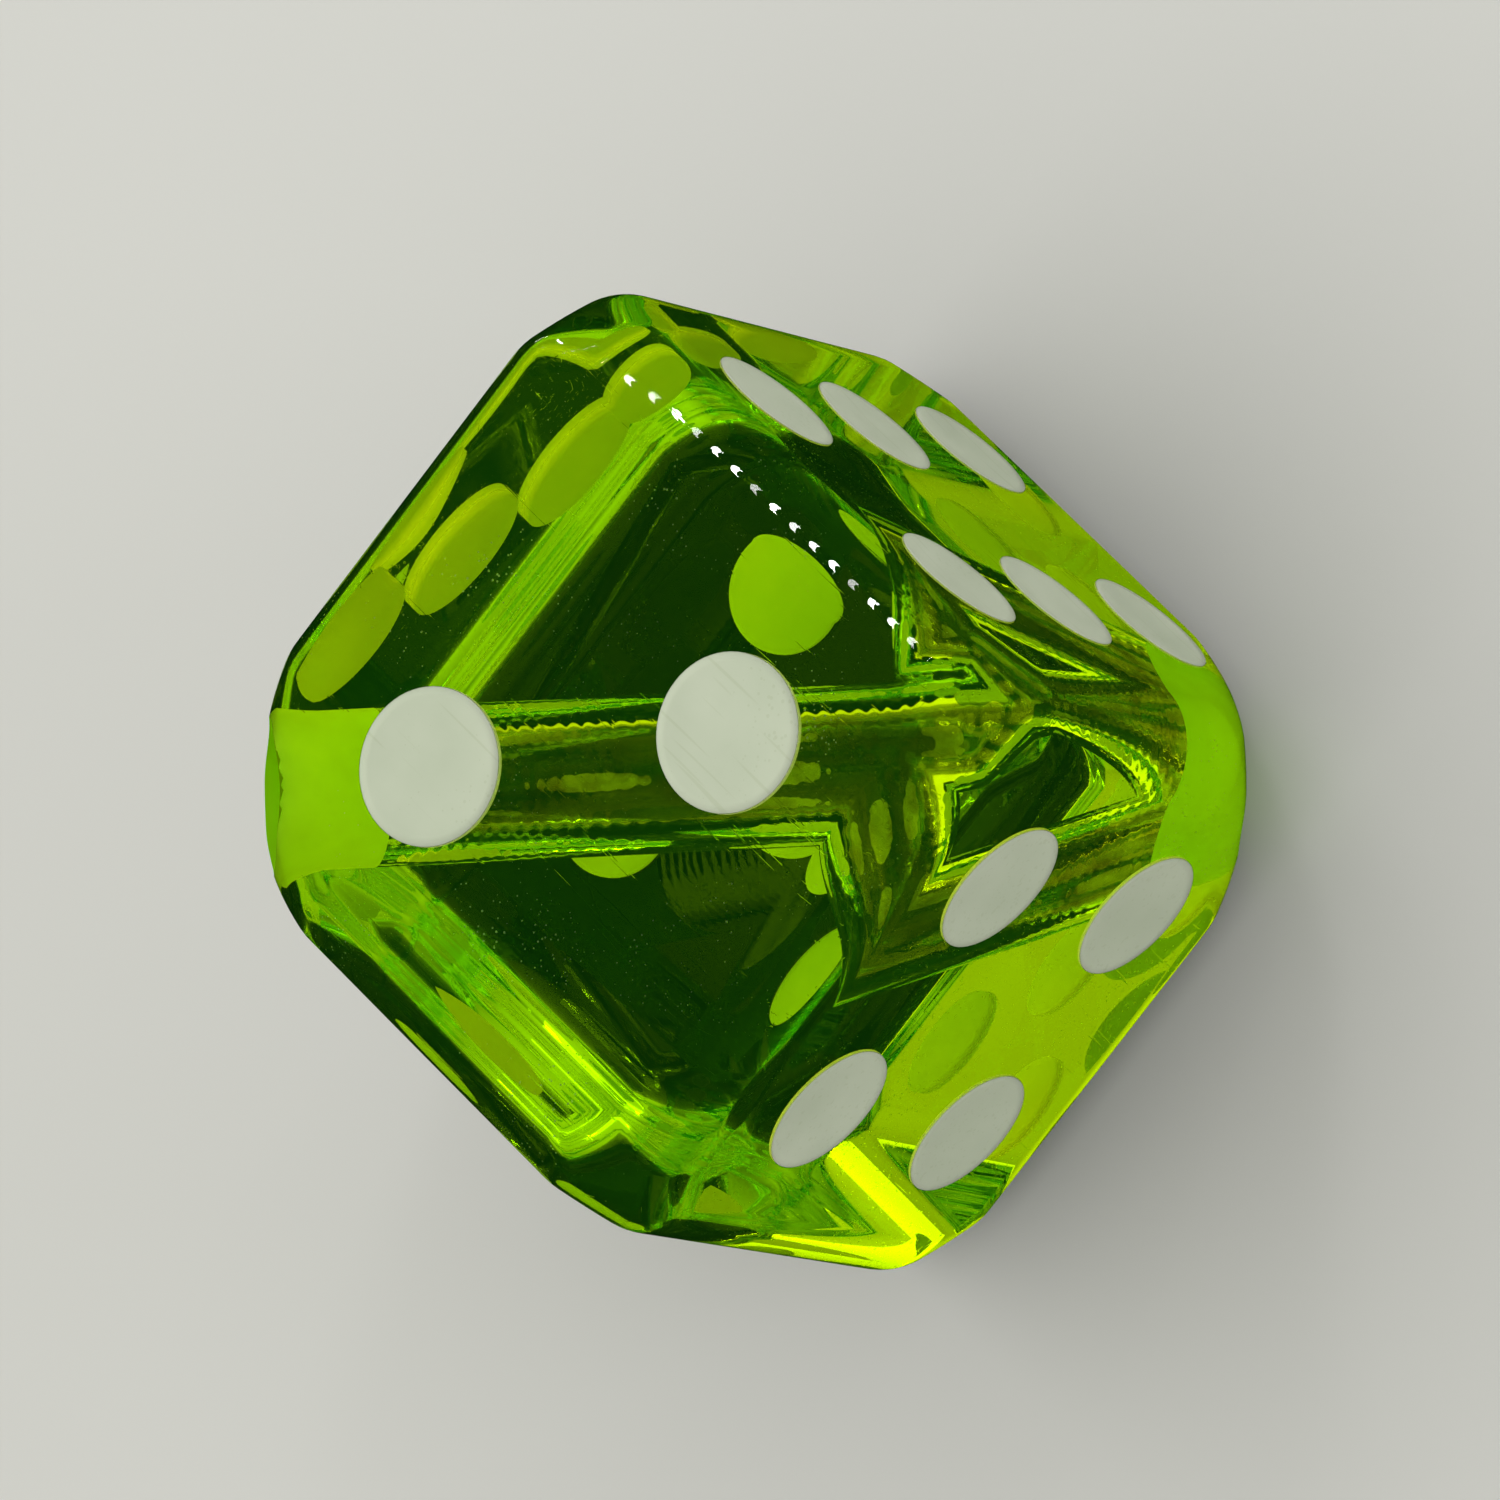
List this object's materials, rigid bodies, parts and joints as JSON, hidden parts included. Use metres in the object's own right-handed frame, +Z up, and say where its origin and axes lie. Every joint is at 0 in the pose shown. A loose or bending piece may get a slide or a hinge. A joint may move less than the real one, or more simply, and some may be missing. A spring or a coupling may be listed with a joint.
{
  "type": "casino die",
  "caption": "Transparent gaming die with rounded edges, ball-ground corners, white filled pips and a bore drilled through it from corner to corner.",
  "frame": {"origin": "middle of the flat face with five pips, which the die rests on", "axes": "+Z up out of the two, -Z the five, +X the four, -X the three, +Y the six, -Y the one"},
  "size_m": [0.016, 0.016, 0.016],
  "materials": {
    "clear_body": "polished, transparent, fluorescent yellow-green acrylic",
    "pip_fill": "matt white filling"
  },
  "bodies": {
    "root": {"die_body": "clear_body", "pip_1_1": "pip_fill", "pip_2_1": "pip_fill", "pip_2_2": "pip_fill", "pip_3_1": "pip_fill", "pip_3_2": "pip_fill", "pip_3_3": "pip_fill", "pip_4_1": "pip_fill", "pip_4_2": "pip_fill", "pip_4_3": "pip_fill", "pip_4_4": "pip_fill", "pip_5_1": "pip_fill", "pip_5_2": "pip_fill", "pip_5_3": "pip_fill", "pip_5_4": "pip_fill", "pip_5_5": "pip_fill", "pip_6_1": "pip_fill", "pip_6_2": "pip_fill", "pip_6_3": "pip_fill", "pip_6_4": "pip_fill", "pip_6_5": "pip_fill", "pip_6_6": "pip_fill"}
  },
  "joints": []
}
